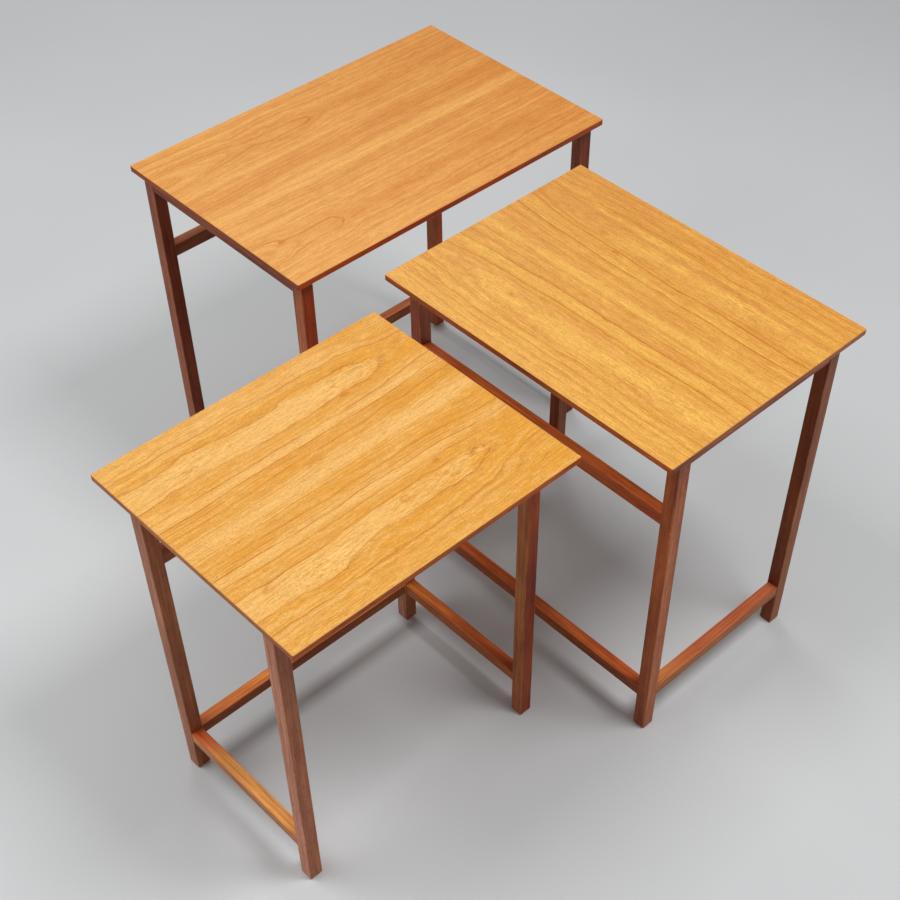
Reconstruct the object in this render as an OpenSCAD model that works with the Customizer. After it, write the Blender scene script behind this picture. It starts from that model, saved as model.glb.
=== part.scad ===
// Nest of three side tables.
// Every board has the same depth. Each smaller table slides in from the front, its board over the
// back rail and between the legs of the next larger one, until all the front edges line up.
// Each table is drawn about its own centre on the floor, front towards -Y, and then put in its place.

/* [Large table] */
// Length of the large board
large_length = 570; // [480:1:760]
// Height of the large table
large_height = 566; // [500:1:680]
// Depth of all three boards, front to back
depth = 371; // [310:1:460]

/* [Nesting] */
// Gap at each side between a board and the legs it slides in between
side_gap = 2.2; // [1:0.1:6]
// Gap above a board that slides in under the next larger one
head_gap = 6.5; // [3:0.5:15]
// Gap between a back rail and the back legs that come up against it
back_gap = 2; // [1:0.5:6]

/* [Board] */
// Thickness of the finished board, with both veneers
board_t = 9; // [8:0.5:14]
// Thickness of each veneer
veneer_t = 0.6; // [0.5:0.1:1]
// Bevel on the outer edge of each veneer
veneer_bevel = 0.4; // [0.1:0.1:0.4]
// Width of the solid lipping glued round the core
lipping_w = 7; // [5:0.5:10]
// Radius of the board's four upright corners
corner_r = 1.5; // [0.5:0.5:4]

/* [Legs] */
// Side of the square leg
leg_w = 20; // [18:1:28]
// Radius of the leg's eased arrises
leg_arris = 1.5; // [0.5:0.5:3]
// Bevel round the foot
foot_bevel = 2; // [0.5:0.5:4]
// How far each board stands out past its legs at the two ends
end_overhang = 11.5; // [5:0.5:25]
// How far the large board stands out past its legs at the front and the back
front_overhang = 11; // [5:0.5:25]

/* [Rails] */
// How far the face of every rail stands back from the face of the legs
rail_setback = 1; // [0.5:0.5:2]
// Radius of the eased arrises of rails and stretchers
rail_arris = 1.2; // [0.4:0.2:2]
// Height of the aprons under the two ends of the board
apron_h = 25; // [23:1:45]
// Thickness of the aprons
apron_t = 16; // [14:0.5:17]
// Height of the top of the back rail above the floor
back_rail_top = 431; // [330:1:440]
// Height of the back rail
back_rail_h = 20; // [18:1:40]
// Thickness of the back rail
back_rail_t = 16; // [12:0.5:17]
// Height of the top of the stretchers above the floor
stretcher_top = 81.5; // [60:0.5:200]
// Height of the stretchers
stretcher_h = 18.5; // [18:0.5:30]
// Thickness of the stretchers
stretcher_t = 17.5; // [14:0.5:18]

/* [Joints] */
// Diameter of the dowels
dowel_d = 6; // [5:0.5:6.5]
// Length of the dowels
dowel_length = 24; // [16:1:26]
// Gap all round a dowel, for the glue
glue_gap = 0.1; // [0.05:0.05:0.2]
// Free space beyond each end of a dowel
dowel_end_gap = 1; // [0.5:0.5:1.5]
// Distance between the two dowels in each end of an apron
apron_dowel_step = 12; // [9:0.5:14]
// Distance between the two dowels in each end of a back rail
back_rail_dowel_step = 9; // [8:0.5:10]
// Height between the side and the back stretcher's dowels, which cross in the back legs
stretcher_dowel_step = 8; // [7.5:0.5:9]

/* [Screws] */
// Diameter of the screws that hold the board to its aprons
screw_d = 3.5; // [3:0.5:4]
// Diameter of their heads
screw_head_d = 7; // [6:0.5:8]
// Height of their heads
screw_head_h = 2.4; // [1.8:0.2:3]
// Width of the slot across a head
screw_slot = 1; // [0.6:0.1:1.2]
// How far the screws reach into the board
screw_bite = 5; // [3:0.5:5.5]
// Wood left above the head in the apron
screw_seat = 12; // [8:1:16]
// Distance from the end of an apron to its nearest screw
screw_inset = 45; // [25:1:80]
// Gap round a screw in its holes
screw_gap = 0.2; // [0.1:0.1:0.4]

/* [Layout] */
// How the three tables stand
layout = "spread"; // [spread, nested]
// From the large table's left end to the middle table's back edge
middle_inset = 109; // [60:1:190]
// Gap between the large table's front edge and the middle table's end
middle_gap = 42; // [20:1:200]
// Gap between the small table's right end and the middle table's back edge
small_end_gap = 48; // [20:1:200]
// Gap between the large table's front edge and the small table's back edge
small_back_gap = 75.5; // [20:0.5:300]

/* [Hidden] */
$fn = 48;
overcut = 1;

TABLES = [0, 1, 2];
NAMES = ["large", "middle", "small"];
SIDES = [-1, 1];
PIECES = [
    "top_core", "face_veneer", "backing_veneer",
    "front_lipping", "back_lipping", "left_lipping", "right_lipping",
    "front_left_leg", "front_right_leg", "back_left_leg", "back_right_leg",
    "left_apron", "right_apron", "back_rail", "back_stretcher",
    "left_stretcher", "right_stretcher", "dowels", "top_screws"
];
NODES = [for (t = TABLES) for (p = PIECES) str(NAMES[t], "_", p)];
node = "all";

// Sizes that step from one table to the next smaller one.
length_step = 2 * (end_overhang + leg_w + side_gap);
height_step = board_t + head_gap;
leg_step = rail_setback + max(stretcher_t, back_rail_t) + back_gap;

core_t = board_t - 2 * veneer_t;
apron_mid = -board_t - apron_h / 2;
back_rail_mid = back_rail_top - back_rail_h / 2;
stretcher_mid = stretcher_top - stretcher_h / 2;

// Sizes of table t.
function length_of(t) = large_length - t * length_step;
function height_of(t) = large_height - t * height_step;
function underside(t) = height_of(t) - board_t;

// Centre of a leg, and the inner faces where the rails meet it, in table t's right back corner.
function leg_x(t) = length_of(t) / 2 - end_overhang - leg_w / 2;
function leg_y(t) = depth / 2 - front_overhang - t * leg_step - leg_w / 2;
function joint_x(t) = leg_x(t) - leg_w / 2;
function joint_y(t) = leg_y(t) - leg_w / 2;

// Centre line of a side rail and of a back rail of the given thickness.
function side_x(t, thickness) = leg_x(t) + leg_w / 2 - rail_setback - thickness / 2;
function back_y(t, thickness) = leg_y(t) + leg_w / 2 - rail_setback - thickness / 2;

// Dowels of the leg in the corner [sx, sy]: each has its centre in the joint and its direction.
ALONG_X = [0, 90, 0];
ALONG_Y = [90, 0, 0];
function side_dowels(t, sx, sy) = concat(
    [for (k = SIDES) [
        [sx * side_x(t, apron_t), sy * joint_y(t),
         height_of(t) + apron_mid + k * apron_dowel_step / 2], ALONG_Y]],
    [[[sx * side_x(t, stretcher_t), sy * joint_y(t),
       stretcher_mid + stretcher_dowel_step / 2], ALONG_Y]]
);
function back_dowels(t, sx) = concat(
    [for (k = SIDES) [
        [sx * joint_x(t), back_y(t, back_rail_t),
         back_rail_mid + k * back_rail_dowel_step / 2], ALONG_X]],
    [[[sx * joint_x(t), back_y(t, stretcher_t),
       stretcher_mid - stretcher_dowel_step / 2], ALONG_X]]
);
function leg_dowels(t, sx, sy) =
    concat(side_dowels(t, sx, sy), sy > 0 ? back_dowels(t, sx) : []);

// Screws of table t, each where its head meets the apron.
function screw_places(t) = [
    for (sx = SIDES, sy = SIDES) [
        sx * side_x(t, apron_t), sy * (joint_y(t) - screw_inset), underside(t) - screw_seat]
];

// Place of each table's centre, measured from the large table's left back corner.
middle_x = middle_inset + depth / 2;
middle_y = -depth - middle_gap - length_of(1) / 2;
small_x = middle_inset - small_end_gap - length_of(2) / 2;
small_y = -depth - small_back_gap - depth / 2;
CENTRES = [[large_length / 2, -depth / 2], [middle_x, middle_y], [small_x, small_y]];
// The middle table stands a quarter turn round, front towards +X.
TURNS = [0, 90, 0];

// Centre of the ground that the three tables cover, which is the origin.
west = min(0, small_x - length_of(2) / 2);
east = max(large_length, middle_x + depth / 2);
south = min(middle_y - length_of(1) / 2, small_y - depth / 2);
ground_centre = [(west + east) / 2, south / 2];

module place(t) {
    if (layout == "nested")
        children();
    else
        translate(concat(CENTRES[t] - ground_centre, [0])) rotate([0, 0, TURNS[t]]) children();
}

// Colours.
VENEER = ["#e0a05a", "#e4a75e", "#ecba6a"];
FRAME = "#7c4630";
LIPPING = "#74402c";
CORE = "#c9ab80";
BEECH = "#d9b888";
STEEL = "#b8b8b4";

// Rectangle with its four corners eased.
module eased_rect(w, h, r) {
    square([w - 2 * r, h], center = true);
    square([w, h - 2 * r], center = true);
    for (x = SIDES, y = SIDES)
        translate([x * (w / 2 - r), y * (h / 2 - r)])
            circle(r);
}

// Bars with eased arrises, centred, lying along X or along Y.
module bar_x(l, t, h, r) {
    rotate([90, 0, 90])
        linear_extrude(l, center = true)
            eased_rect(t, h, r);
}

module bar_y(l, t, h, r) {
    rotate([90, 0, 0])
        linear_extrude(l, center = true)
            eased_rect(t, h, r);
}

// Wedge that takes a bevel off an edge along X, whose corner is at the origin.
module bevel_wedge(l, b) {
    rotate([45, 0, 0])
        cube([l, b * sqrt(2), b * sqrt(2)], center = true);
}

// Holes for the dowels of one leg.
module dowel_holes(t, sx, sy) {
    for (d = leg_dowels(t, sx, sy))
        translate(d[0]) rotate(d[1])
            cylinder(d = dowel_d + 2 * glue_gap, h = dowel_length + 2 * dowel_end_gap, center = true);
}

// Holes in the underside of the board for its screws.
module pilot_holes(t) {
    for (p = screw_places(t))
        translate([p.x, p.y, underside(t) - overcut])
            cylinder(d = screw_d + 2 * screw_gap, h = screw_bite + overcut + screw_gap);
}

// ---- Board ----

module top_core(t) {
    color(CORE)
        difference() {
            translate([0, 0, underside(t) + veneer_t + core_t / 2])
                cube([length_of(t) - 2 * lipping_w, depth - 2 * lipping_w, core_t], center = true);
            pilot_holes(t);
        }
}

// Veneer lying on z = 0 with its outer edge bevelled on the upper side.
module veneer_sheet(t) {
    l = length_of(t);
    difference() {
        linear_extrude(veneer_t)
            eased_rect(l, depth, corner_r);
        for (s = SIDES) {
            translate([0, s * depth / 2, veneer_t]) bevel_wedge(l + overcut, veneer_bevel);
            translate([s * l / 2, 0, veneer_t]) rotate([0, 0, 90])
                bevel_wedge(depth + overcut, veneer_bevel);
        }
    }
}

module face_veneer(t) {
    color(VENEER[t])
        translate([0, 0, height_of(t) - veneer_t])
            veneer_sheet(t);
}

module backing_veneer(t) {
    color(CORE)
        difference() {
            translate([0, 0, underside(t) + veneer_t])
                mirror([0, 0, 1])
                    veneer_sheet(t);
            pilot_holes(t);
        }
}

// Lipping along the edge at +Y of a board of the given length, mitred at both ends.
module lipping(t, edge_length, edge_distance, outline) {
    x = edge_length / 2;
    color(LIPPING)
        translate([0, 0, underside(t) + veneer_t])
            linear_extrude(core_t)
                intersection() {
                    polygon([
                        [-x, edge_distance], [x, edge_distance],
                        [x - lipping_w, edge_distance - lipping_w],
                        [lipping_w - x, edge_distance - lipping_w]
                    ]);
                    eased_rect(outline.x, outline.y, corner_r);
                }
}

module long_lipping(t) {
    lipping(t, length_of(t), depth / 2, [length_of(t), depth]);
}

module end_lipping(t) {
    lipping(t, depth, length_of(t) / 2, [depth, length_of(t)]);
}

// ---- Legs and rails ----

// Square leg in the corner [sx, sy], bevelled round the foot, drilled for its dowels.
module leg(t, sx, sy) {
    color(FRAME)
        difference() {
            translate([sx * leg_x(t), sy * leg_y(t), 0])
                difference() {
                    linear_extrude(underside(t))
                        eased_rect(leg_w, leg_w, leg_arris);
                    for (side = [0:3])
                        rotate([0, 0, 90 * side]) translate([0, leg_w / 2, 0])
                            bevel_wedge(leg_w + overcut, foot_bevel);
                }
            dowel_holes(t, sx, sy);
        }
}

// Counterbored holes through the aprons for the board's screws.
module screw_holes(t) {
    for (p = screw_places(t)) translate(p) {
        cylinder(d = screw_d + 2 * screw_gap, h = screw_seat + overcut);
        translate([0, 0, -apron_h])
            cylinder(d = screw_head_d + 4 * screw_gap, h = apron_h);
    }
}

module apron(t, sx) {
    color(FRAME)
        difference() {
            translate([sx * side_x(t, apron_t), 0, height_of(t) + apron_mid])
                bar_y(2 * joint_y(t), apron_t, apron_h, rail_arris);
            screw_holes(t);
            for (sy = SIDES) dowel_holes(t, sx, sy);
        }
}

module back_rail(t) {
    color(FRAME)
        difference() {
            translate([0, back_y(t, back_rail_t), back_rail_mid])
                bar_x(2 * joint_x(t), back_rail_t, back_rail_h, rail_arris);
            for (sx = SIDES) dowel_holes(t, sx, 1);
        }
}

module back_stretcher(t) {
    color(FRAME)
        difference() {
            translate([0, back_y(t, stretcher_t), stretcher_mid])
                bar_x(2 * joint_x(t), stretcher_t, stretcher_h, rail_arris);
            for (sx = SIDES) dowel_holes(t, sx, 1);
        }
}

module side_stretcher(t, sx) {
    color(FRAME)
        difference() {
            translate([sx * side_x(t, stretcher_t), 0, stretcher_mid])
                bar_y(2 * joint_y(t), stretcher_t, stretcher_h, rail_arris);
            for (sy = SIDES) dowel_holes(t, sx, sy);
        }
}

// ---- Dowels and screws ----

module dowel() {
    r = dowel_d / 2;
    z = dowel_length / 2;
    bevel = r / 4;
    rotate_extrude()
        polygon([[0, -z], [r - bevel, -z], [r, bevel - z], [r, z - bevel], [r - bevel, z], [0, z]]);
}

module dowels(t) {
    color(BEECH)
        for (sx = SIDES, sy = SIDES)
            for (d = leg_dowels(t, sx, sy))
                translate(d[0]) rotate(d[1]) dowel();
}

// Screw with its head below z = 0 and its point up.
module screw() {
    shank = screw_seat + screw_bite;
    tip = screw_d / 2;
    rotate_extrude()
        polygon([
            [0, -screw_head_h], [screw_head_d / 2 - screw_head_h / 3, -screw_head_h],
            [screw_head_d / 2, -screw_head_h * 2 / 3], [screw_head_d / 2, 0],
            [screw_d / 2, 0], [screw_d / 2, shank - tip], [0, shank]
        ]);
}

module top_screws(t) {
    color(STEEL)
        for (p = screw_places(t)) translate(p)
            difference() {
                screw();
                translate([0, 0, -screw_head_h])
                    cube([screw_slot, screw_head_d + overcut, screw_head_h], center = true);
            }
}

function wanted(t, piece) = node == "all" || node == str(NAMES[t], "_", piece);

for (t = TABLES) place(t) {
    if (wanted(t, "top_core")) top_core(t);
    if (wanted(t, "face_veneer")) face_veneer(t);
    if (wanted(t, "backing_veneer")) backing_veneer(t);
    if (wanted(t, "front_lipping")) mirror([0, 1, 0]) long_lipping(t);
    if (wanted(t, "back_lipping")) long_lipping(t);
    if (wanted(t, "left_lipping")) rotate([0, 0, 90]) end_lipping(t);
    if (wanted(t, "right_lipping")) rotate([0, 0, -90]) end_lipping(t);
    if (wanted(t, "front_left_leg")) leg(t, -1, -1);
    if (wanted(t, "front_right_leg")) leg(t, 1, -1);
    if (wanted(t, "back_left_leg")) leg(t, -1, 1);
    if (wanted(t, "back_right_leg")) leg(t, 1, 1);
    if (wanted(t, "left_apron")) apron(t, -1);
    if (wanted(t, "right_apron")) apron(t, 1);
    if (wanted(t, "back_rail")) back_rail(t);
    if (wanted(t, "back_stretcher")) back_stretcher(t);
    if (wanted(t, "left_stretcher")) side_stretcher(t, -1);
    if (wanted(t, "right_stretcher")) side_stretcher(t, 1);
    if (wanted(t, "dowels")) dowels(t);
    if (wanted(t, "top_screws")) top_screws(t);
}
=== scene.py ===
"""Looks of the nest of three side tables: woods, floor, light and camera."""
import math

import bpy
from mathutils import Matrix, Vector


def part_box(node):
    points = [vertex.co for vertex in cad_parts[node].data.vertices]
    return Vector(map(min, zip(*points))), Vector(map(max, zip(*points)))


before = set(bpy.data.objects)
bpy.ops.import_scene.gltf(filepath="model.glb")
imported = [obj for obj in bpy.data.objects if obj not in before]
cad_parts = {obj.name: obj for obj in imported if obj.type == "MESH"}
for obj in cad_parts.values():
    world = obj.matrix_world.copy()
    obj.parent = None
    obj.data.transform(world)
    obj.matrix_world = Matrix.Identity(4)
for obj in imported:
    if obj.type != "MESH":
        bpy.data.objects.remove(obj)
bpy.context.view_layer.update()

# A noise value mostly keeps within this much of a half.
NOISE_REACH = 0.25


def color(code):
    """Linear colour of an sRGB code such as '#a65228', by the sRGB standard's formula."""
    parts = [int(code[i:i + 2], 16) / 255 for i in (1, 3, 5)]
    linear = [p / 12.92 if p <= 0.04045 else ((p + 0.055) / 1.055) ** 2.4 for p in parts]
    return (*linear, 1.0)


class Graph:
    """Short forms for building the nodes of one material."""

    def __init__(self, name):
        self.material = bpy.data.materials.new(name)
        self.material.use_nodes = True
        self.tree = self.material.node_tree
        self.shader = self.tree.nodes["Principled BSDF"]

    def put(self, socket, value):
        """Links a socket to another node's, or sets it to a constant."""
        if isinstance(value, bpy.types.NodeSocket):
            self.tree.links.new(value, socket)
        else:
            socket.default_value = value

    def node(self, kind, inputs=None, **settings):
        made = self.tree.nodes.new(kind)
        for key, value in settings.items():
            setattr(made, key, value)
        for key, value in (inputs or {}).items():
            self.put(made.inputs[key], value)
        return made

    def math(self, operation, *values):
        inputs = dict(enumerate(values))
        return self.node("ShaderNodeMath", inputs, operation=operation).outputs[0]

    def add(self, *values):
        total = values[0]
        for value in values[1:]:
            total = self.math("ADD", total, value)
        return total

    def times(self, *values):
        product = values[0]
        for value in values[1:]:
            product = self.math("MULTIPLY", product, value)
        return product

    def less(self, a, b):
        return self.math("SUBTRACT", a, b)

    def absolute(self, value):
        return self.math("ABSOLUTE", value)

    def larger(self, a, b):
        return self.math("MAXIMUM", a, b)

    def span(self, value, low, high, to_low=0.0, to_high=1.0):
        """Runs smoothly from to_low to to_high as value goes from low to high."""
        inputs = {"Value": value, "From Min": low, "From Max": high,
                  "To Min": to_low, "To Max": to_high}
        return self.node("ShaderNodeMapRange", inputs, interpolation_type="SMOOTHSTEP").outputs[0]

    def swing(self, noise, size):
        """A noise value as a swing of about size either way."""
        return self.times(self.less(noise, 0.5), size / NOISE_REACH)

    def mix(self, factor, a, b, blend="MIX"):
        inputs = {0: factor, 6: a, 7: b}
        return self.node("ShaderNodeMix", inputs, data_type="RGBA", blend_type=blend).outputs[2]

    def vector(self, x, y, z):
        return self.node("ShaderNodeCombineXYZ", {0: x, 1: y, 2: z}).outputs[0]

    def split(self, vector):
        return self.node("ShaderNodeSeparateXYZ", {0: vector}).outputs

    def vector_math(self, operation, *vectors):
        inputs = dict(enumerate(vectors))
        return self.node("ShaderNodeVectorMath", inputs, operation=operation).outputs[0]

    def length_of(self, vector):
        return self.node("ShaderNodeVectorMath", {0: vector}, operation="LENGTH").outputs["Value"]

    def noise(self, vector, detail=2.0, roughness=0.5, distortion=0.0):
        inputs = {"Vector": vector, "Scale": 1.0, "Detail": detail, "Roughness": roughness,
                  "Distortion": distortion}
        return self.node("ShaderNodeTexNoise", inputs).outputs[0]

    def noise_line(self, value, detail=0.0):
        inputs = {"W": value, "Scale": 1.0, "Detail": detail}
        return self.node("ShaderNodeTexNoise", inputs, noise_dimensions="1D").outputs[0]

    def random_of(self, value):
        return self.node("ShaderNodeTexWhiteNoise", {"W": value}, noise_dimensions="1D").outputs[0]

    def coordinates(self, kind):
        return self.node("ShaderNodeTexCoord").outputs[kind]

    def bell(self, distance_squared):
        """Falls from 1 at no distance to nearly 0 at a distance of 2."""
        return self.math("POWER", math.e, self.times(distance_squared, -1.0))

    def bump(self, height, strength, distance):
        inputs = {"Height": height, "Strength": strength, "Distance": distance}
        self.put(self.shader.inputs["Normal"], self.node("ShaderNodeBump", inputs).outputs[0])

    def finish(self, base, roughness, **constants):
        """Sets the shader's colour and roughness, and constants by socket name, _ for a space."""
        self.put(self.shader.inputs["Base Color"], base)
        self.put(self.shader.inputs["Roughness"], roughness)
        for key, value in constants.items():
            self.shader.inputs[key.replace("_", " ")].default_value = value
        return self.material


# ---- Cherry veneer ----
# Each board is faced with two leaves from one log, opened like a book along the board's middle.
# A ring of the log shows where the figure's depth below the log's heart line equals the ring's.
# hearts: from the board's middle to the middle of the figure, in the front and the back leaf.
# lean: how much nearer to the board's middle the heart line ends than it starts, in each leaf.
# cut: how deep below the log's heart the leaf was sliced; more gives a wider figure.
# first, tips: where the figure narrows and where it closes, from the board's centre, lengthwise,
# each as (start, end) in the front and the back leaf, with the depth they take up.
# rings: the strong rings, as (distance from the board's middle at its left end, strength).
# swells: bulges of the log as (along, across, half length, half width, push), which the rings
# bend round; a push above zero brings them nearer to the heart.
# strips: paler strips along the board, or deeper ones where the strength is below zero, as
# (across, half width, strength).
# curls: patches of curly grain as (along, across, half length, half width).
# marks: small gum marks as (along, across, radius, darkness).
# along and across are from the board's centre, and across is below zero in the front leaf.
# drift: how much darker the board is made from the centre to the right end and to the back edge.
# flame: how much paler the middle of the figure is. sway: how far the grain wanders.
# cloud, texture: how strong the soft patches and the fine detail are. seed: picks the noises.
VENEERS = {
    "large": {
        "pale": "#da9e51", "deep": "#c57c32", "line": "#b25f08",
        "hearts": (0.1095, 0.115), "lean": (0.0, 0.004), "cut": 0.040,
        "first": ((-0.285, -0.200), (-0.285, -0.130)), "first_depth": 0.0052,
        "tips": ((-0.165, -0.130), (-0.045, 0.010)), "tip_depth": 0.0035,
        "rings": [
            (0.003, 0.35), (0.017, 0.3), (0.031, 0.4), (0.040, 0.2), (0.052, 0.25), (0.077, 0.35),
            (0.0888, 0.7), (0.1358, 0.7), (0.153, 0.45), (0.168, 0.4),
        ],
        "swells": [
            (-0.135, 0.098, 0.020, 0.012, 0.0018), (-0.060, 0.130, 0.050, 0.012, 0.0012),
            (-0.235, -0.100, 0.022, 0.012, 0.0012),
        ],
        "strips": [
            (-0.008, 0.010, 0.5), (0.063, 0.004, 0.4), (-0.059, 0.004, 0.4), (0.163, 0.004, 0.3),
            (-0.163, 0.004, 0.3), (0.036, 0.020, -0.15),
        ],
        "curls": [(0.150, 0.118, 0.070, 0.018), (0.020, -0.104, 0.060, 0.018)],
        "marks": [
            (0.128, 0.118, 0.006, 0.25), (0.012, 0.113, 0.005, 0.3), (-0.247, -0.101, 0.005, 0.3),
            (0.020, -0.104, 0.005, 0.2),
        ],
        "drift": (0.17, 0.0), "flame": 0.0, "sway": 0.0035,
        "cloud": 0.17, "texture": 1.3, "seed": 3.7,
    },
    "middle": {
        "pale": "#d9a24a", "deep": "#cb8b40", "line": "#b06200",
        "hearts": (0.107, 0.100), "lean": (0.0, 0.0), "cut": 0.040,
        "first": ((0.02, 0.30), (0.05, 0.32)), "first_depth": 0.0060,
        "tips": ((0.16, 0.34), (0.16, 0.36)), "tip_depth": 0.0050,
        "rings": [
            (0.014, 0.3), (0.0285, 0.55), (0.046, 0.7), (0.056, 0.25), (0.069, 0.72), (0.078, 0.2),
            (0.121, 0.3), (0.1355, 0.6), (0.151, 0.6), (0.160, 0.4), (0.173, 0.3),
        ],
        "swells": [(0.070, -0.066, 0.020, 0.008, 0.0020), (0.150, 0.060, 0.040, 0.010, -0.0015)],
        "strips": [
            (0.001, 0.006, 0.4), (0.055, 0.010, 0.3), (-0.128, 0.008, 0.3), (0.035, 0.012, -0.2),
            (-0.117, 0.004, -0.9),
        ],
        "curls": [
            (-0.150, 0.100, 0.085, 0.020), (-0.120, -0.105, 0.070, 0.014),
            (0.140, 0.098, 0.060, 0.014),
        ],
        "marks": [
            (0.107, 0.093, 0.004, 0.5), (0.071, 0.071, 0.0045, 0.6), (-0.035, 0.066, 0.005, 0.3),
            (-0.013, 0.043, 0.0045, 0.5), (-0.028, 0.011, 0.006, 0.4), (-0.024, -0.047, 0.006, 0.5),
            (0.076, -0.070, 0.004, 0.8), (0.116, -0.090, 0.0045, 0.6),
        ],
        "drift": (0.05, -0.20), "flame": 0.1, "sway": 0.0045,
        "cloud": 0.33, "texture": 1.85, "seed": 11.3,
    },
    "small": {
        "pale": "#dba658", "deep": "#cf8e28", "line": "#b46500",
        "hearts": (0.109, 0.113), "lean": (0.0165, 0.002), "cut": 0.040,
        "first": ((-0.10, 0.16), (-0.06, 0.17)), "first_depth": 0.0018,
        "tips": ((0.110, 0.200), (0.120, 0.210)), "tip_depth": 0.0080,
        "rings": [
            (0.010, 0.25), (0.020, 0.3), (0.033, 0.65), (0.043, 0.35), (0.051, 0.85), (0.067, 0.8),
            (0.079, 0.3), (0.0905, 0.95), (0.1315, 0.95), (0.152, 0.7), (0.160, 0.45), (0.172, 0.4),
        ],
        "swells": [
            (-0.030, -0.127, 0.030, 0.017, 0.0055), (0.035, -0.127, 0.030, 0.012, 0.0022),
            (-0.117, -0.133, 0.028, 0.010, -0.0015), (-0.117, 0.138, 0.028, 0.010, -0.0016),
            (-0.020, 0.130, 0.026, 0.012, 0.0018), (0.060, 0.135, 0.040, 0.010, -0.0010),
        ],
        "strips": [
            (0.003, 0.010, 0.75), (0.062, 0.006, 0.3), (-0.055, 0.009, 0.3), (0.017, 0.005, 0.2),
            (0.037, 0.016, -0.25), (-0.025, 0.018, -0.2),
        ],
        "curls": [
            (-0.120, 0.115, 0.060, 0.014), (0.120, 0.113, 0.060, 0.018),
            (-0.100, -0.112, 0.080, 0.018), (0.110, -0.100, 0.060, 0.018),
        ],
        "marks": [
            (0.087, 0.090, 0.0045, 1.0), (0.085, 0.110, 0.0025, 0.5), (0.195, 0.121, 0.007, 0.4),
            (-0.015, 0.024, 0.008, 0.55), (-0.165, 0.093, 0.005, 0.6), (-0.178, -0.095, 0.005, 0.6),
            (0.090, -0.073, 0.004, 1.0), (0.084, -0.096, 0.0025, 0.6), (0.128, -0.092, 0.004, 0.5),
            (0.020, -0.096, 0.005, 0.3), (0.108, 0.035, 0.012, 0.15),
        ],
        "drift": (0.17, -0.05), "flame": 0.45, "sway": 0.0055,
        "cloud": 0.38, "texture": 2.0, "seed": 23.9,
    },
}

# Noises of the veneer: cycles a metre along and across the board, what is added to the board's
# seed, detail, and roughness and distortion where they aren't the usual ones.
VENEER_NOISES = {
    "slow_sway": (6.5, 16.0, 0, 1.0),
    "quick_sway": (19.0, 36.0, 0, 2.0),
    "quiver": (70.0, 130.0, 0, 2.0),
    "breaks": (13.0, 60.0, 2, 2.0),
    "cloud": (9.0, 34.0, 5, 4.0, 0.65),
    "mottle": (55.0, 110.0, 6, 5.0, 0.75),
    "smudge": (130.0, 420.0, 8, 3.0, 0.6),
    "drawn": (16.0, 420.0, 0, 3.0, 0.6),
    "fibre": (60.0, 900.0, 0, 2.0, 0.6),
    "fleck": (330.0, 620.0, 0, 2.0),
    "curly": (30.0, 140.0, 0, 3.0, 0.6, 3.0),
}
# How far the second leaf's sway differs from the first's, in cycles of its noise.
LEAF_SHIFT = 0.30
# Distances from the heart line between which the lean and the full sway fade, and the share of
# the sway that is left.
LEAN_FADES = (0.015, 0.050)
SWAY_FADES = (0.015, 0.060)
FAR_SWAY = 0.55
# The quick sway for the slow one, the quiver, and what the quick sway adds to the depth.
QUICK_SWAY = 0.6
QUIVER = 0.0007
QUICK_DEPTH = 0.0006
# Half width in which the figure on one side of the heart line gives way to the other side's.
SIDE_BLEND = 0.004
# The least steepness of the rings, so that those at the heart line don't spread into bands.
LEAST_STEEPNESS = 0.30
# What curly grain adds to the depth and to the light, each times the texture squared.
CURL_DEPTH = 0.00035
CURL_LIGHT = 0.085
# A gum mark's width over its length, how much depth it adds for its radius, and the nearness to
# it at which it begins and is full.
MARK_SHAPE = 0.55
MARK_DEPTH = 0.45
MARK_EDGE = (0.1, 0.8)
# Late wood: where a ring sets in, where its dark core fades, where its faint tail ends, and how
# strong the tail is beside the core.
RING_SETS_IN = (-0.0012, 0.0003)
RING_CORE = (0.0004, 0.0024)
RING_TAIL_END = 0.0100
RING_TAIL = 0.28
# Fine rings: their spacing in depth, how many spacings they stray, and how often.
FINE_RING = 0.0034
FINE_STRAY = 1.2
FINE_STRAY_SCALE = 70.0
# Powers that make most fine rings faint and let each fade off, and the share in which it sets in.
FINE_FAINT = 1.6
FINE_FADE = 4.0
FINE_SETS_IN = 0.12
# Masks made from noises: the noise values between which they run, and the mask at each.
STRONG_RING_BREAKS = (0.30, 0.60, 0.55, 1.0)
FINE_RING_BREAKS = (0.35, 0.65, 0.3, 0.8)
GUM_SMUDGES = (0.32, 0.62, 0.2, 1.0)
FLAME_CLOUDS = (0.30, 0.65, 1.0, 0.35)
# Depths between which the pale flame in the middle of the figure ends.
FLAME_ENDS = (0.0050, 0.0062)
# Noises of tone that follow the rings: cycles a metre of depth, times the seed, detail.
RING_NOISES = {
    "bands": (75.0, 3, 1.0),
    "streaks": (380.0, 2, 3.0),
}
# The tone's level, what bands add to it for the cloud, and what streaks and mottle add for the
# texture.
TONE_LEVEL = 0.5
BAND_TONE = 0.35
STREAK_TONE = 0.15
MOTTLE_TONE = 0.15
# Strips: how much of the sway they follow, and where they fade, for their half width.
STRIP_SWAY = 0.4
STRIP_FULL = 0.4
STRIP_GONE = 1.2
# What drawn fibres add to the light, and what short fibres and flecks add for the texture.
DRAWN_LIGHT = 0.07
FIBRE_LIGHT = 0.09
FLECK_LIGHT = 0.075
# How much more the green and the blue follow the light of the fibres than the red does.
FIBRE_GREEN = 1.25
FIBRE_BLUE = 2.2
# What the lines add to the blue, besides their own colour.
LINE_WARMTH = -0.45
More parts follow.
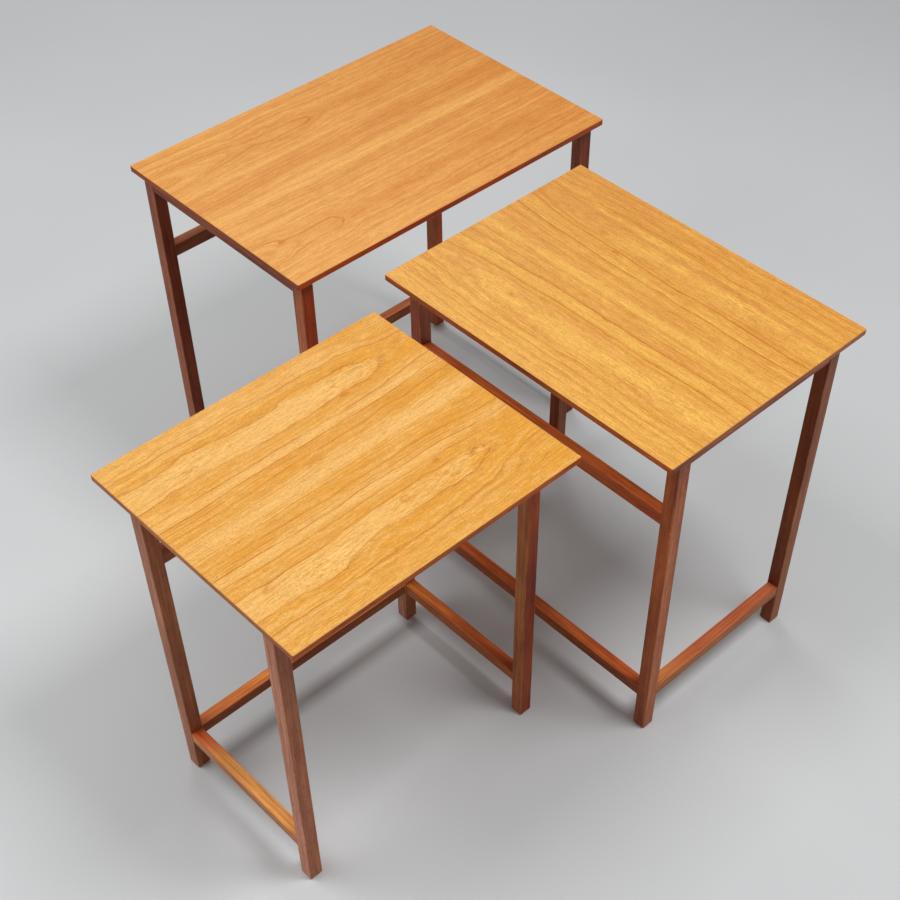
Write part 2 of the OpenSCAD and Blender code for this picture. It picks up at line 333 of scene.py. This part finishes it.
# How rubbed the eased edges are, and how far in from them it fades.
RUBBED = 0.35
RUBBED_FADES = (0.0004, 0.0025)
GUM_COLOR = "#ba6e00"
RUBBED_COLOR = "#c98a4a"
VENEER_ROUGHNESS = 0.42
VENEER_ROUGHNESS_SWING = 0.05
VENEER_GLOSS = 0.25
# Heights of flecks and rings in the bump, for a fibre's, and the bump's strength and depth.
FLECK_HEIGHT = 0.5
RING_HEIGHT = -0.7
VENEER_BUMP = (0.15, 0.0003)


class Board(Graph):
    """The veneer of one board. along and across are distances from the board's centre, and depth
    is the figure's depth below the log's heart line."""

    def __init__(self, table):
        super().__init__(f"{table}_veneer")
        self.look = VENEERS[table]
        self.seed = self.look["seed"]
        self.texture = self.look["texture"]
        low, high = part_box(f"{table}_face_veneer")
        centre = (low + high) / 2
        size = high - low
        x, y, _ = self.split(self.coordinates("Object"))
        x = self.less(x, centre.x)
        y = self.less(y, centre.y)
        self.along, self.across = x, y
        self.length, self.width = size.x, size.y
        if size.y > size.x:
            self.along, self.across = y, self.times(x, -1.0)
            self.length, self.width = size.y, size.x
        self.from_seam = self.absolute(self.across)
        self.back = self.math("GREATER_THAN", self.across, 0.0)
        self.breaks = self.grain("breaks")
        self.cloud = self.grain("cloud")
        self.fibre = self.grain("fibre")
        self.fleck = self.grain("fleck")
        self.set_marks()
        self.set_curl()
        self.set_depth()

    def grain(self, name, mirrored=False):
        """A noise of VENEER_NOISES. A mirrored one is much the same in both leaves."""
        along_scale, across_scale, shift, *texture = VENEER_NOISES[name]
        across = self.from_seam if mirrored else self.across
        seed = self.seed + shift
        if mirrored:
            seed = self.add(self.times(self.back, LEAF_SHIFT), seed)
        x = self.times(self.along, along_scale)
        y = self.times(across, across_scale)
        return self.noise(self.vector(x, y, seed), *texture)

    def choose(self, pair):
        """The front leaf's value or the back leaf's."""
        front_value, back_value = pair
        return self.add(self.times(self.back, back_value - front_value), front_value)

    def closing(self, stretches, depth):
        """Depth taken up over a stretch of each leaf, so that the figure narrows there."""
        starts, ends = zip(*stretches)
        return self.span(self.along, self.choose(starts), self.choose(ends), 0.0, depth)

    def near_spot(self, along, across, half_length, half_width):
        """1 at a spot of the board, falling to nearly 0 at twice its half length and half width."""
        du = self.times(self.less(self.along, along), 1 / half_length)
        dv = self.times(self.less(self.across, across), 1 / half_width)
        return self.bell(self.add(self.times(du, du), self.times(dv, dv)))

    def set_marks(self):
        """For each gum mark, the nearness to it, its radius and its darkness."""
        self.marks = []
        for along, across, radius, darkness in self.look["marks"]:
            near = self.near_spot(along, across, radius / MARK_SHAPE, radius)
            self.marks.append((near, radius, darkness))

    def set_curl(self):
        """Where the grain is curly, and the noise that it follows there."""
        mask = 0.0
        for spot in self.look["curls"]:
            mask = self.larger(mask, self.near_spot(*spot))
        self.curl = mask
        self.curly = self.grain("curly")

    def curl_swing(self, size):
        return self.times(self.swing(self.curly, size * self.texture ** 2), self.curl)

    def heart_distance(self):
        """Distance from the heart line, without sway."""
        straight = self.less(self.from_seam, self.choose(self.look["hearts"]))
        near_heart = self.span(self.absolute(straight), *LEAN_FADES, 1.0, 0.0)
        from_left = self.add(self.times(self.along, 1 / self.length), 0.5)
        return self.add(straight, self.times(self.choose(self.look["lean"]), near_heart, from_left))

    def set_depth(self):
        """The sway of the grain, the side of the heart line, and the depth and its steepness."""
        look = self.look
        cut = look["cut"]
        quick = self.grain("quick_sway", mirrored=True)
        self.sway = self.add(
            self.swing(self.grain("slow_sway", mirrored=True), look["sway"]),
            self.swing(quick, look["sway"] * QUICK_SWAY),
            self.swing(self.grain("quiver", mirrored=True), QUIVER),
        )
        straight = self.heart_distance()
        calm = self.span(self.absolute(straight), *SWAY_FADES, 1.0, FAR_SWAY)
        from_heart = self.add(straight, self.times(self.sway, calm))
        self.outer = self.span(from_heart, -SIDE_BLEND, SIDE_BLEND)
        self.inner = self.less(1.0, self.outer)
        from_log = self.math("SQRT", self.add(self.times(from_heart, from_heart), cut ** 2))
        rise = self.less(from_log, cut)
        swells = [self.times(self.near_spot(*spot), push) for *spot, push in look["swells"]]
        marks = [self.times(near, radius * MARK_DEPTH) for near, radius, _ in self.marks]
        self.depth = self.add(
            rise,
            self.closing(look["first"], look["first_depth"]),
            self.closing(look["tips"], look["tip_depth"]),
            self.swing(quick, QUICK_DEPTH),
            self.curl_swing(CURL_DEPTH),
            *swells,
            *marks,
        )
        growth = self.math("DIVIDE", self.absolute(from_heart), self.add(rise, cut))
        self.steepness = self.larger(growth, LEAST_STEEPNESS)

    def ring_noise(self, name):
        scale, spread, detail = RING_NOISES[name]
        return self.noise_line(self.add(self.times(self.depth, scale), self.seed * spread), detail)

    def ring(self, edge):
        """Dark late wood: sharp toward the heart, thin, and with a faint tail away from it."""
        into = self.math("DIVIDE", self.less(self.depth, edge), self.steepness)
        core = self.span(into, *RING_CORE, 1.0, 0.0)
        tail = self.span(into, 0.0, RING_TAIL_END, RING_TAIL, 0.0)
        return self.times(self.span(into, *RING_SETS_IN), self.larger(core, tail))

    def strong_rings(self):
        look = self.look
        heart = sum(look["hearts"]) / 2
        lines = 0.0
        for from_middle, strength in look["rings"]:
            edge = math.hypot(from_middle - heart, look["cut"]) - look["cut"]
            own_side = self.outer if from_middle > heart else self.inner
            lines = self.larger(lines, self.times(self.ring(edge), own_side, strength))
        return self.times(lines, self.span(self.breaks, *STRONG_RING_BREAKS))

    def fine_rings(self):
        stray = self.swing(self.noise_line(self.times(self.depth, FINE_STRAY_SCALE)), FINE_STRAY)
        count = self.add(self.times(self.depth, 1 / FINE_RING), stray)
        number = self.math("FLOOR", count)
        part = self.less(count, number)
        weight = self.math("POWER", self.random_of(self.add(number, self.seed)), FINE_FAINT)
        fading = self.math("POWER", self.less(1.0, part), FINE_FADE)
        line = self.times(fading, self.span(part, 0.0, FINE_SETS_IN), weight)
        return self.times(line, self.span(self.breaks, *FINE_RING_BREAKS))

    def gum(self):
        """How dark the gum marks are, with smudges in them."""
        darkening = 0.0
        for near, _, darkness in self.marks:
            darkening = self.larger(darkening, self.span(near, *MARK_EDGE, 0.0, darkness))
        return self.times(darkening, self.span(self.grain("smudge"), *GUM_SMUDGES))

    def tone(self):
        """How deep the board's colour is, from 0 for pale to 1 for deep, with the drift's darkening
        towards the right end and the back edge.
        """
        look = self.look
        in_flame = self.span(self.depth, *FLAME_ENDS, 1.0, 0.0)
        flame = self.times(in_flame, self.span(self.cloud, *FLAME_CLOUDS), look["flame"])
        to_end, to_back = look["drift"]
        tone = self.add(
            TONE_LEVEL,
            self.swing(self.ring_noise("bands"), look["cloud"] * BAND_TONE),
            self.swing(self.ring_noise("streaks"), STREAK_TONE * self.texture),
            self.swing(self.cloud, look["cloud"]),
            self.swing(self.grain("mottle"), MOTTLE_TONE * self.texture),
            self.times(flame, -1.0),
            # Darker towards the right end and the back edge by the drift.
            self.times(self.along, to_end * 2 / self.length),
            self.times(self.across, to_back * 2 / self.width),
        )
        swayed = self.add(self.across, self.times(self.sway, STRIP_SWAY))
        for middle, half_width, strength in look["strips"]:
            off = self.absolute(self.less(swayed, middle))
            strip = self.span(off, half_width * STRIP_FULL, half_width * STRIP_GONE, -strength, 0.0)
            tone = self.add(tone, strip)
        return tone

    def fibre_light(self):
        """Light and dark of the fibres, as a colour to multiply by."""
        lift = self.add(
            self.swing(self.grain("drawn"), DRAWN_LIGHT),
            self.swing(self.fibre, FIBRE_LIGHT * self.texture),
            self.swing(self.fleck, FLECK_LIGHT * self.texture),
            self.curl_swing(CURL_LIGHT),
        )
        green = self.add(1.0, self.times(lift, FIBRE_GREEN))
        blue = self.add(1.0, self.times(lift, FIBRE_BLUE))
        return self.vector(self.add(1.0, lift), green, blue)

    def rubbed(self):
        """How rubbed the board is: RUBBED along its eased edges and 0 on its face."""
        to_end = self.less(self.length / 2, self.absolute(self.along))
        to_side = self.less(self.width / 2, self.from_seam)
        return self.span(self.math("MINIMUM", to_end, to_side), *RUBBED_FADES, RUBBED, 0.0)


def veneer(table):
    """Cherry veneer of one board, with its own figure."""
    g = Board(table)
    look = g.look
    lines = g.strong_rings()
    fine = g.fine_rings()
    base = g.mix(g.span(g.tone(), 0.0, 1.0), color(look["pale"]), color(look["deep"]))
    base = g.mix(lines, base, color(look["line"]))
    base = g.mix(fine, base, color(look["line"]))
    base = g.mix(g.gum(), base, color(GUM_COLOR))
    blue = g.add(1.0, g.times(g.larger(lines, fine), LINE_WARMTH))
    base = g.mix(1.0, base, g.vector(1.0, 1.0, blue), "MULTIPLY")
    base = g.mix(1.0, base, g.fibre_light(), "MULTIPLY")
    base = g.mix(g.rubbed(), base, color(RUBBED_COLOR))
    rough = g.add(
        VENEER_ROUGHNESS,
        g.swing(g.fibre, VENEER_ROUGHNESS_SWING),
        g.swing(g.cloud, VENEER_ROUGHNESS_SWING),
        g.times(lines, -VENEER_ROUGHNESS_SWING),
    )
    height = g.add(g.fibre, g.times(g.fleck, FLECK_HEIGHT), g.times(lines, RING_HEIGHT))
    g.bump(height, *VENEER_BUMP)
    return g.finish(base, rough, Specular_IOR_Level=VENEER_GLOSS)


# ---- Dark oiled wood of legs, rails and lippings ----
AXES = {"x": 0, "y": 1, "z": 2}
# A bar's usual thickness, and how far in from its arrises the wear reaches, in metres.
SECTION = 0.018
WEAR_FADES = (0.0004, 0.0022)
# Noises with a grain: cycles a metre along it and across it, detail, roughness and distortion.
BAND = (2.6, 60.0, 2.0, 0.5, 0.4)
STREAK = (9.0, 300.0, 3.0, 0.7)
PORE = (70.0, 1100.0, 1.0)
PATCH = (8.0, 30.0, 3.0, 0.6)
WEAR = (26.0, 90.0)
# Where the colours of a piece's two ends meet, unless it is said, how far they run into each
# other either way, and how far the patches and the streaks push that place along.
MIDDLE = 0.5
MEETING = 0.2
PATCH_STRAY = 0.15
STREAK_STRAY = 0.08
# How much a face has to look along an axis, from not at all to fully, to take that side's colour.
FACING = (0.4, 0.9)
# The wood's tone: its level, what each noise adds, and what one piece has over another.
LEVEL = 0.92
BAND_SWING = 0.22
STREAK_SWING = 0.40
PATCH_SWING = 0.27
PIECE_STEP = 0.16
# Masks made from noises: the noise values between which they run, and the mask at each.
DARK_BANDS = (0.60, 0.72, 0.0, 0.30)
DARK_PORES = (0.54, 0.70, 0.0, 0.38)
OPEN_PORES = (0.58, 0.70, 0.0, 0.12)
DEEP_PORES = (0.55, 0.70, 0.0, -1.0)
WORN_PLACES = (0.35, 0.7)
# How much paler the pores are in the upper faces, as painted light from above, and how strongly
# wear shows.
PORES_PALER_IN_PAINTED_TOP_LIGHT = 0.6
WEAR_SHOWS = 0.42
# How much more the green and the blue follow the tone than the red does.
TONE_GREEN = 1.4
BAND_COLOR = "#5e2410"
PORE_COLOR = "#4a1c0c"
WORN_COLOR = "#c87a45"
NICK_COLOR = "#c98e74"
# Where a nick fades, for its size, and how strongly it shows.
NICK_FADES = (0.6, 1.0, 0.8, 0.0)
# How far the pieces' noises lie apart.
PIECE_SHIFT = (7.3, 3.1, 5.7)
WOOD_ROUGHNESS = 0.46
STREAK_ROUGHNESS = 0.06
WEAR_ROUGHNESS = 0.05
WOOD_GLOSS = 0.2
# A streak's height in the bump, for a pore's depth, and the bump's strength and depth.
STREAK_HEIGHT = 0.5
WOOD_BUMP = (0.18, 0.0003)


def grain_noise(g, place, axis, along_scale, across_scale, *texture):
    """A noise whose grain runs along axis."""
    scale = [across_scale] * 3
    scale[AXES[axis]] = along_scale
    return g.noise(g.vector_math("MULTIPLY", place, scale), *texture)


def arris_wear(g, axis):
    """1 on the long edges of a bar and 0 on its faces."""
    parts = g.split(g.coordinates("Generated"))
    gaps = []
    for name, index in AXES.items():
        if name != axis:
            inward = g.less(0.5, g.absolute(g.less(parts[index], 0.5)))
            gaps.append(g.times(inward, SECTION))
    return g.span(g.larger(*gaps), *WEAR_FADES, 1.0, 0.0)


def faces_with_painted_light(g, axis, side_axis, colors, stray, to_up):
    """The colours of a piece's faces, before its grain. Besides the wood's own colour they hold
    painted light and shade: upper faces mostly paler where light falls on them, and faces in the
    tables' shade darker.
    """
    side, front, up_low, up_high = (color(code) for code in colors[:4])
    meet = colors[4] if len(colors) > 4 else MIDDLE
    normal = g.split(g.coordinates("Normal"))
    to_side = g.span(g.absolute(normal[AXES[side_axis]]), *FACING)
    further = g.add(g.split(g.coordinates("Generated"))[AXES[axis]], stray)
    upper = g.mix(g.span(further, meet - MEETING, meet + MEETING), up_low, up_high)
    return g.mix(to_up, g.mix(to_side, front, side), upper)


def nicked(g, base, point, size):
    """base with a small pale nick at a point."""
    away = g.vector_math("SUBTRACT", g.coordinates("Object"), point)
    away = g.length_of(g.vector_math("DIVIDE", away, size))
    return g.mix(g.span(away, *NICK_FADES), base, color(NICK_COLOR))


def dark_wood(name, axis, side_axis, colors, mark=None):
    """Oiled wood with its grain along axis. Its faces carry painted light and shade besides the
    wood's own colour: colors are for the faces that look along side_axis, the other upright faces,
    and the faces that look up at the piece's low end and its high end, and where along the piece
    those two meet."""
    g = Graph(name)
    own = g.node("ShaderNodeObjectInfo").outputs["Random"]
    shift = g.vector(*(g.times(own, distance) for distance in PIECE_SHIFT))
    place = g.vector_math("ADD", g.coordinates("Object"), shift)
    band = grain_noise(g, place, axis, *BAND)
    streak = grain_noise(g, place, axis, *STREAK)
    pore = grain_noise(g, place, axis, *PORE)
    patch = grain_noise(g, place, axis, *PATCH)

    stray = g.add(g.swing(patch, PATCH_STRAY), g.swing(streak, STREAK_STRAY))
    to_up = g.span(g.split(g.coordinates("Normal"))[AXES["z"]], *FACING)
    # The faces' colours, with their painted light and shade.
    base = faces_with_painted_light(g, axis, side_axis, colors, stray, to_up)
    tone = g.add(
        g.swing(band, BAND_SWING),
        g.swing(streak, STREAK_SWING),
        g.swing(patch, PATCH_SWING),
        g.times(own, PIECE_STEP),
        LEVEL,
    )
    cooler = g.add(g.times(tone, TONE_GREEN), 1 - TONE_GREEN)
    base = g.mix(1.0, base, g.vector(tone, cooler, cooler), "MULTIPLY")
    base = g.mix(g.span(band, *DARK_BANDS), base, color(BAND_COLOR))
    # Pores show less on the upper faces: painted light from above.
    pores = g.times(g.span(pore, *DARK_PORES), g.less(1.0, g.times(to_up, PORES_PALER_IN_PAINTED_TOP_LIGHT)))
    base = g.mix(pores, base, color(PORE_COLOR))
    wear = g.span(grain_noise(g, place, axis, *WEAR), *WORN_PLACES)
    worn = g.times(arris_wear(g, axis), wear)
    base = g.mix(g.times(worn, WEAR_SHOWS), base, color(WORN_COLOR))
    if mark:
        base = nicked(g, base, *mark)
    rough = g.add(
        WOOD_ROUGHNESS,
        g.swing(streak, STREAK_ROUGHNESS),
        g.times(worn, WEAR_ROUGHNESS),
        g.span(pore, *OPEN_PORES),
    )
    g.bump(g.add(g.times(streak, STREAK_HEIGHT), g.span(pore, *DEEP_PORES)), *WOOD_BUMP)
    return g.finish(base, rough, Specular_IOR_Level=WOOD_GLOSS)


# ---- Plain wood and zinc ----
PLAIN_BAND = (4.0, 110.0, 3.0)
PLAIN_FIBRE = (60.0, 1500.0, 2.0)
# The noise values between which the plain wood's colour runs, and what its fibres add to them.
PLAIN_RANGE = (0.3, 0.7)
PLAIN_FIBRE_SWING = 0.25
# The chipboard's chips in metres, and how strongly they show.
CHIP_SIZE = 0.004
CHIP_CONTRAST = 0.35
PLAIN_ROUGHNESS = 0.78
PLAIN_ROUGHNESS_SWING = 0.1
PLAIN_GLOSS = 0.12
PLAIN_BUMP = (0.15, 0.0004)


def plain_wood(name, light, deep, axis, chip_size=0.0):
    """Undecorated wood, for what is turned away or hidden, in chips where chip_size is given."""
    g = Graph(name)
    place = g.coordinates("Object")
    band = grain_noise(g, place, axis, *PLAIN_BAND)
    fibre = grain_noise(g, place, axis, *PLAIN_FIBRE)
    tone = g.add(band, g.swing(fibre, PLAIN_FIBRE_SWING))
    base = g.mix(g.span(tone, *PLAIN_RANGE), color(light), color(deep))
    if chip_size:
        chips = g.node("ShaderNodeTexVoronoi", {"Vector": place, "Scale": 1 / chip_size})
        base = g.mix(CHIP_CONTRAST, base, chips.outputs["Color"], "SOFT_LIGHT")
    g.bump(fibre, *PLAIN_BUMP)
    rough = g.add(PLAIN_ROUGHNESS, g.swing(fibre, PLAIN_ROUGHNESS_SWING))
    return g.finish(base, rough, Specular_IOR_Level=PLAIN_GLOSS)


# The swirls on the zinc: cycles a metre, and detail.
ZINC_SCALE = 900.0
ZINC_DETAIL = 3.0
ZINC_ROUGHNESS = 0.32
ZINC_ROUGHNESS_SWING = 0.12
ZINC_BUMP = (0.1, 0.0001)


def zinc():
    """Plated steel of the screws."""
    g = Graph("zinc")
    place = g.vector_math("MULTIPLY", g.coordinates("Object"), (ZINC_SCALE,) * 3)
    swirl = g.noise(place, ZINC_DETAIL)
    base = g.mix(swirl, color("#a9a9a4"), color("#cfcfc8"))
    g.bump(swirl, *ZINC_BUMP)
    rough = g.add(ZINC_ROUGHNESS, g.swing(swirl, ZINC_ROUGHNESS_SWING))
    return g.finish(base, rough, Metallic=1.0)


# ---- Which material each piece has ----
# The nick's height above the floor, how far in from the arris its middle is, and its half sizes.
NICK_HEIGHT = 0.409
NICK_IN = 0.0005
NICK_SIZE = (0.0035, 0.0035, 0.0012)


def nick():
    """The place and size of the pale nick on the near arris of the middle back left leg."""
    low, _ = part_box("middle_back_left_leg")
    return Vector((low.x + NICK_IN, low.y + NICK_IN, NICK_HEIGHT)), NICK_SIZE


# Frame and edge strips by piece or by kind, each as the colours of its side faces, its front and
# back faces, and its upper faces at the low and at the high end, and where along the piece those
# two meet, if not in its middle. These colours hold painted light and shade: upper faces paler
# where light falls on them and deeper where a board shades them, lit outer sides paler, and faces
# in the tables' shade darker.
FRAME_COLORS = {
    "large_back_right_leg": ("#974920", "#a14618", "#a2583c", "#a2583c"),
    "large_front_left_leg": ("#b36038", "#9c3d16", "#a65b3a", "#a65b3a"),
    "large_leg": ("#975237", "#783013", "#a2583c", "#a2583c"),
    "large_rail": ("#934a2a", "#854522", "#b16339", "#b16339"),
    "large_back_stretcher": ("#944e2a", "#9a4e25", "#c26839", "#c26839"),
    "large_lipping": ("#964a30", "#a23f0e", "#a84a22", "#a84a22"),
    "large_side_lipping": ("#9c4522", "#8a3f20", "#914730", "#914730"),
    "middle_front_left_leg": ("#94532f", "#7b3916", "#81401a", "#81401a"),
    "middle_front_right_leg": ("#914e2d", "#80370e", "#81401a", "#81401a"),
    "middle_leg": ("#ab5e37", "#9f4f26", "#ae5828", "#ae5828"),
    "middle_rail": ("#a25228", "#a84e1d", "#d26b34", "#d26b34"),
    "middle_back_stretcher": ("#92471e", "#9a4d1e", "#dc6e35", "#dc6e35"),
    "middle_left_stretcher": ("#aa6030", "#8c4420", "#cb7d41", "#af5833", 0.2),
    "middle_lipping": ("#964a30", "#a54f1a", "#b05628", "#b05628"),
    "middle_side_lipping": ("#a85f3e", "#8a3f20", "#944c30", "#944c30"),
    "small_front_left_leg": ("#bf795c", "#985738", "#ad6a52", "#ad6a52"),
    "small_front_right_leg": ("#b56a35", "#9a4117", "#863817", "#863817"),
    "small_leg": ("#b26f52", "#9a5633", "#ad6a52", "#ad6a52"),
    "small_rail": ("#a25228", "#93512c", "#b85a26", "#b85a26"),
    "small_back_stretcher": ("#8c4a26", "#924a24", "#d17034", "#f0933d", 0.4),
    "small_left_stretcher": ("#c67d4e", "#a8623c", "#d48c45", "#c65728", 0.85),
    "small_right_stretcher": ("#a95a2a", "#8c4a26", "#bd5b2b", "#d27433", 0.7),
    "small_lipping": ("#a8583a", "#b45416", "#b05328", "#b05328"),
    "small_side_lipping": ("#ae5f28", "#9a4c28", "#9d533a", "#9d533a"),
}


def grain_axis(node):
    """The axis that a node is longest along."""
    low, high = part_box(node)
    size = high - low
    return "xyz"[list(size).index(max(size))]


def kind_of(piece):
    """The frame piece's kind, as in FRAME_COLORS."""
    table = piece.split("_")[0]
    if piece in FRAME_COLORS:
        return piece
    if piece.endswith("leg"):
        return f"{table}_leg"
    if piece.endswith(("left_lipping", "right_lipping")):
        return f"{table}_side_lipping"
    if piece.endswith("lipping"):
        return f"{table}_lipping"
    return f"{table}_rail"


def paint_nodes():
    """Gives every node its material, and alike pieces the same one."""
    made = {
        "beech": plain_wood("beech", "#e2c294", "#c99f68", "x"),
        "zinc": zinc(),
        "chipboard": plain_wood("chipboard", "#c9a877", "#a5814f", "x", CHIP_SIZE),
    }
    for piece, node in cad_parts.items():
        table = piece.split("_")[0]
        side_axis = grain_axis(f"{table}_face_veneer")
        if piece.endswith("dowels"):
            name = "beech"
        elif piece.endswith("screws"):
            name = "zinc"
        elif piece.endswith("top_core"):
            name = "chipboard"
        elif piece.endswith("face_veneer"):
            name = f"{table}_veneer"
            made[name] = veneer(table)
        elif piece.endswith("backing_veneer"):
            name = f"{table}_backing"
            made[name] = plain_wood(name, "#a86a3c", "#7f4824", side_axis)
        else:
            kind = kind_of(piece)
            axis = grain_axis(piece)
            mark = nick() if piece == "middle_back_left_leg" else None
            name = f"{kind}_{axis}_marked" if mark else f"{kind}_{axis}"
            if name not in made:
                made[name] = dark_wood(name, axis, side_axis, FRAME_COLORS[kind], mark)
        for slot in node.material_slots:
            slot.material = made[name]


# ---- Floor, light and camera ----
FLOOR_SIZE = 14.0
FLOOR_COLORS = ("#c8cacb", "#ced0d1")
# The detail of the floor's clouds, one a metre, and the noise values between which they run.
FLOOR_DETAIL = 3.0
FLOOR_RANGE = (0.3, 0.7)
FLOOR_ROUGHNESS = 0.6
FLOOR_GLOSS = 0.3


def add_floor():
    """The plain pale floor that the tables stand on."""
    bpy.ops.mesh.primitive_plane_add(size=FLOOR_SIZE)
    floor = bpy.context.object
    floor.name = "floor"
    g = Graph("floor")
    cloud = g.noise(g.coordinates("Object"), FLOOR_DETAIL)
    dark, light = (color(code) for code in FLOOR_COLORS)
    base = g.mix(g.span(cloud, *FLOOR_RANGE), dark, light)
    floor.data.materials.append(g.finish(base, FLOOR_ROUGHNESS, Specular_IOR_Level=FLOOR_GLOSS))


# Square softboxes that look straight down, one on the camera's right, two on its left and one
# behind the tables: x, y, size in metres and power in watts.
SOFTBOXES = {
    "right_softbox": (0.5, -1.25, 0.9, 48),
    "left_softbox": (-1.1, 0.6, 1.2, 36),
    "far_left_softbox": (-2.4, 0.4, 1.6, 14),
    "back_softbox": (1.4, 2.2, 1.6, 28),
}
LIGHT_HEIGHT = 3.0
ROOM_LIGHT = 0.27


def add_softbox(name, x, y, size, power):
    data = bpy.data.lights.new(name, "AREA")
    data.shape = "SQUARE"
    data.size = size
    data.energy = power
    lamp = bpy.data.objects.new(name, data)
    bpy.context.scene.collection.objects.link(lamp)
    lamp.location = (x, y, LIGHT_HEIGHT)


def add_light():
    for name, values in SOFTBOXES.items():
        add_softbox(name, *values)
    world = bpy.data.worlds.new("studio")
    bpy.context.scene.world = world
    world.use_nodes = True
    background = world.node_tree.nodes["Background"]
    background.inputs["Color"].default_value = (1, 1, 1, 1)
    background.inputs["Strength"].default_value = ROOM_LIGHT


# Where the camera stands, measured from the large table's left back corner on the floor, in metres,
# and how it is turned, in radians. The shift frames the tables as the photograph does.
CAMERA_FROM_CORNER = Vector((-0.90828, -1.65300, 1.75964))
CAMERA_YAW = 0.78064
CAMERA_PITCH = 0.85268
CAMERA_ROLL = 0.01595
SENSOR = 36
LENS = 59.93
SHIFT = (-0.0489, 0.1522)


def camera_turn():
    """The camera's rotation for its yaw from north, its pitch down and its roll."""
    forward = Vector((
        math.sin(CAMERA_YAW) * math.cos(CAMERA_PITCH),
        math.cos(CAMERA_YAW) * math.cos(CAMERA_PITCH),
        -math.sin(CAMERA_PITCH),
    ))
    level = Vector((math.cos(CAMERA_YAW), -math.sin(CAMERA_YAW), 0))
    upright = level.cross(forward)
    right = level * math.cos(CAMERA_ROLL) + upright * math.sin(CAMERA_ROLL)
    up = upright * math.cos(CAMERA_ROLL) - level * math.sin(CAMERA_ROLL)
    return Matrix((right, up, -forward)).transposed().to_euler()


def add_camera():
    low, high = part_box("large_face_veneer")
    data = bpy.data.cameras.new("camera")
    data.sensor_width = SENSOR
    data.lens = LENS
    data.shift_x, data.shift_y = SHIFT
    camera = bpy.data.objects.new("camera", data)
    bpy.context.scene.collection.objects.link(camera)
    camera.location = Vector((low.x, high.y, 0)) + CAMERA_FROM_CORNER
    camera.rotation_euler = camera_turn()
    bpy.context.scene.camera = camera


paint_nodes()
add_floor()
add_light()
add_camera()
bpy.context.scene.view_settings.view_transform = "Standard"
